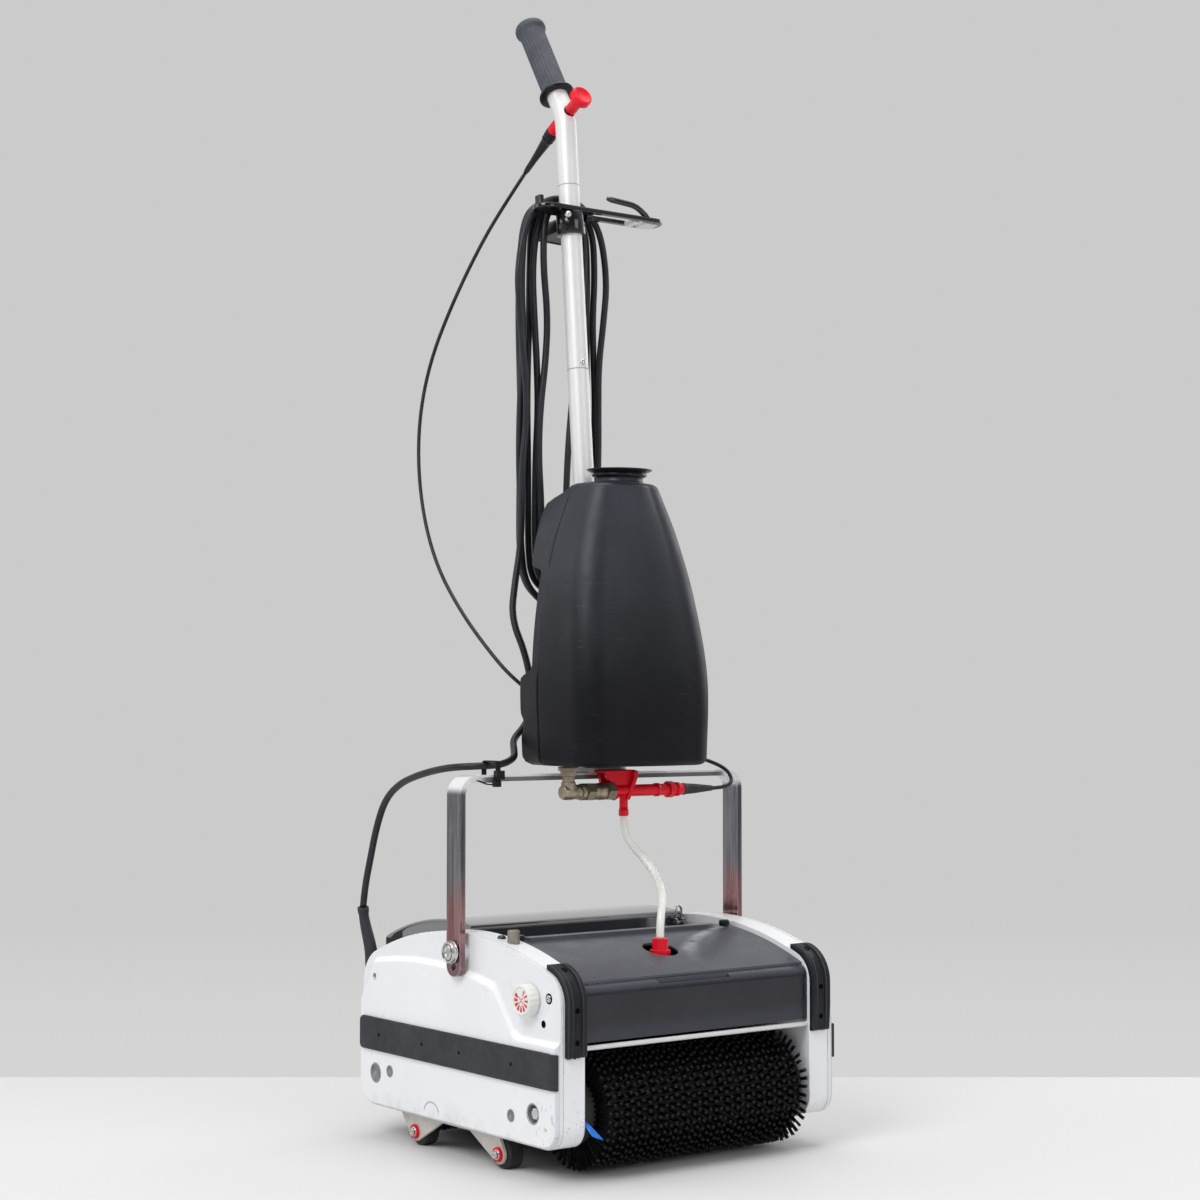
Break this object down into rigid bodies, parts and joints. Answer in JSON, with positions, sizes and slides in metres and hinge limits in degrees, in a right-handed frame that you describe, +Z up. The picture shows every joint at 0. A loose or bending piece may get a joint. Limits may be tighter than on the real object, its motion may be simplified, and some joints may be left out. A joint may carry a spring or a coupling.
{
  "type": "floor scrubber",
  "caption": "Walk-behind floor scrubber with counter-rotating brush cylinders, recovery tub, tilting bail handle with water tank, thumb trigger and hung mains cable.",
  "frame": {"origin": "on the floor, under the middle of the body", "axes": "+X to the viewer's right when facing the front panel, +Y to the operator at the rear, +Z up"},
  "size_m": [0.4666, 0.505, 1.4846],
  "materials": {
    "white_housing": "gloss, scuffed",
    "charcoal_rubber": "satin",
    "grey_cover": "semi-gloss",
    "black_satin": "satin",
    "black_plastic": "satin",
    "black_gloss": "gloss",
    "white_plastic": "satin",
    "red_plastic": "semi-gloss",
    "steel": "zinc plated",
    "motor_paint": "satin paint",
    "bracket_paint": "satin",
    "belt_rubber": "matt",
    "brass": "turned",
    "nickel_brass": "nickel plated",
    "core_plastic": "satin",
    "bristle": "nylon tufts",
    "alloy": "satin anodised",
    "chrome": "polished",
    "wheel_tyre": "matt",
    "grey_grip": "ribbed",
    "tank_plastic": "satin",
    "cable_rubber": "satin",
    "clear_hose": "milky, translucent"
  },
  "bodies": {
    "base": {"cord_gland": "black_plastic", "corner_guards": "charcoal_rubber", "cover_bolts": "steel", "cover_knobs": "black_plastic", "drive_belts": "belt_rubber", "drive_motor": "motor_paint", "front_panel": "black_satin", "hose_nipple": "red_plastic", "left_casting": "white_housing", "left_side_cover": "white_housing", "motor_deck": "steel", "pivot_bolts": "steel", "right_casting": "white_housing", "right_side_cover": "white_housing", "shaft_bearings": "brass", "side_bumpers": "charcoal_rubber", "splash_bar": "steel", "spray_manifold": "black_plastic", "top_cover": "grey_cover", "wheel_axles": "steel", "wheel_brackets": "bracket_paint", "wheel_bushes": "red_plastic"},
    "front_brush": {"front_brush_core": "core_plastic", "front_brush_bristles": "bristle"},
    "rear_brush": {"rear_brush_core": "core_plastic", "rear_brush_bristles": "bristle"},
    "drum": {"pickup_drum": "core_plastic"},
    "front_drive": {"front_drive_pulley": "alloy"},
    "rear_drive": {"rear_drive_pulley": "alloy"},
    "wheel_front_left": {"front_left_wheel": "wheel_tyre"},
    "wheel_front_right": {"front_right_wheel": "wheel_tyre"},
    "wheel_rear_left": {"rear_left_wheel": "wheel_tyre"},
    "wheel_rear_right": {"rear_right_wheel": "wheel_tyre"},
    "dial": {"dial_knob": "white_plastic"},
    "foot_switch": {"foot_switch_button": "steel"},
    "recovery": {"recovery_tank": "black_plastic"},
    "lid": {"recovery_lid": "black_gloss"},
    "latch": {"lid_latch": "steel"},
    "handle": {"bail": "chrome", "tube_joints": "alloy", "lower_tube": "alloy", "middle_tube": "alloy", "upper_tube": "alloy", "grip": "grey_grip", "trigger_socket": "red_plastic", "cable_fittings": "black_plastic", "cable_hook": "black_plastic", "tank_front": "tank_plastic", "tank_back": "tank_plastic", "outlet_fittings": "nickel_brass", "valve_body": "red_plastic", "mains_lead": "cable_rubber", "mains_riser": "cable_rubber", "mains_hank": "cable_rubber", "mains_plug": "cable_rubber", "control_cable": "cable_rubber", "feed_hose": "clear_hose"},
    "trigger": {"trigger_button": "red_plastic"},
    "plunger": {"valve_plunger": "brass"},
    "cap": {"filler_cap": "black_plastic"}
  },
  "joints": [
    {"name": "front_brush_spin", "type": "hinge", "parent": "base", "child": "front_brush", "pos_m": [0, -0.158, 0.076], "axis": [1, 0, 0], "continuous": true},
    {"name": "rear_brush_spin", "type": "hinge", "parent": "base", "child": "rear_brush", "pos_m": [0, 0.158, 0.076], "axis": [1, 0, 0], "continuous": true},
    {"name": "drum_spin", "type": "hinge", "parent": "base", "child": "drum", "pos_m": [0, 0, 0.08], "axis": [1, 0, 0], "continuous": true},
    {"name": "front_drive_spin", "type": "hinge", "parent": "base", "child": "front_drive", "pos_m": [0.18, -0.105, 0.2], "axis": [1, 0, 0], "continuous": true},
    {"name": "rear_drive_spin", "type": "hinge", "parent": "base", "child": "rear_drive", "pos_m": [0.18, -0.045, 0.205], "axis": [1, 0, 0], "continuous": true},
    {"name": "wheel_front_left_spin", "type": "hinge", "parent": "base", "child": "wheel_front_left", "pos_m": [-0.188, -0.083, 0.018], "axis": [1, 0, 0], "continuous": true},
    {"name": "wheel_front_right_spin", "type": "hinge", "parent": "base", "child": "wheel_front_right", "pos_m": [0.188, -0.083, 0.018], "axis": [1, 0, 0], "continuous": true},
    {"name": "wheel_rear_left_spin", "type": "hinge", "parent": "base", "child": "wheel_rear_left", "pos_m": [-0.188, 0.102, 0.018], "axis": [1, 0, 0], "continuous": true},
    {"name": "wheel_rear_right_spin", "type": "hinge", "parent": "base", "child": "wheel_rear_right", "pos_m": [0.188, 0.102, 0.018], "axis": [1, 0, 0], "continuous": true},
    {"name": "dial_turn", "type": "hinge", "parent": "base", "child": "dial", "pos_m": [-0.2103, -0.16, 0.211], "axis": [-1, 0, 0], "range_deg": [0, 300]},
    {"name": "foot_switch_press", "type": "slide", "parent": "base", "child": "foot_switch", "axis": [0, 0, -1], "range_m": [0, 0.004], "stiffness_N_per_m": 1500},
    {"name": "recovery_lift", "type": "slide", "parent": "base", "child": "recovery", "axis": [0, 0, -1], "range_m": [-0.1, 0]},
    {"name": "lid_lift", "type": "slide", "parent": "recovery", "child": "lid", "axis": [0, 0, -1], "range_m": [-0.06, 0]},
    {"name": "latch_turn", "type": "hinge", "parent": "lid", "child": "latch", "pos_m": [0.158, 0.0205, 0.266], "axis": [1, 0, 0], "range_deg": [0, 80]},
    {"name": "handle_tilt", "type": "hinge", "parent": "base", "child": "handle", "pos_m": [0, -0.016, 0.255], "axis": [-1, 0, 0], "range_deg": [0, 60], "deforming": ["mains_lead", "feed_hose"]},
    {"name": "trigger_press", "type": "slide", "parent": "handle", "child": "trigger", "axis": [0, 0.8829, -0.4695], "range_m": [0, 0.006], "stiffness_N_per_m": 900},
    {"name": "valve_pull", "type": "slide", "parent": "handle", "child": "plunger", "axis": [1, 0, 0], "range_m": [0, 0.006]},
    {"name": "cap_lift", "type": "slide", "parent": "handle", "child": "cap", "axis": [0, 0, 1], "range_m": [0, 0.04]}
  ],
  "couplings": [
    {"joint": "rear_brush_spin", "follows": "front_brush_spin", "ratio": -1},
    {"joint": "drum_spin", "follows": "front_brush_spin", "ratio": 1.1364},
    {"joint": "front_drive_spin", "follows": "front_brush_spin", "ratio": 1.3889},
    {"joint": "rear_drive_spin", "follows": "front_brush_spin", "ratio": -1.3889},
    {"joint": "valve_pull", "follows": "trigger_press", "ratio": 1}
  ]
}
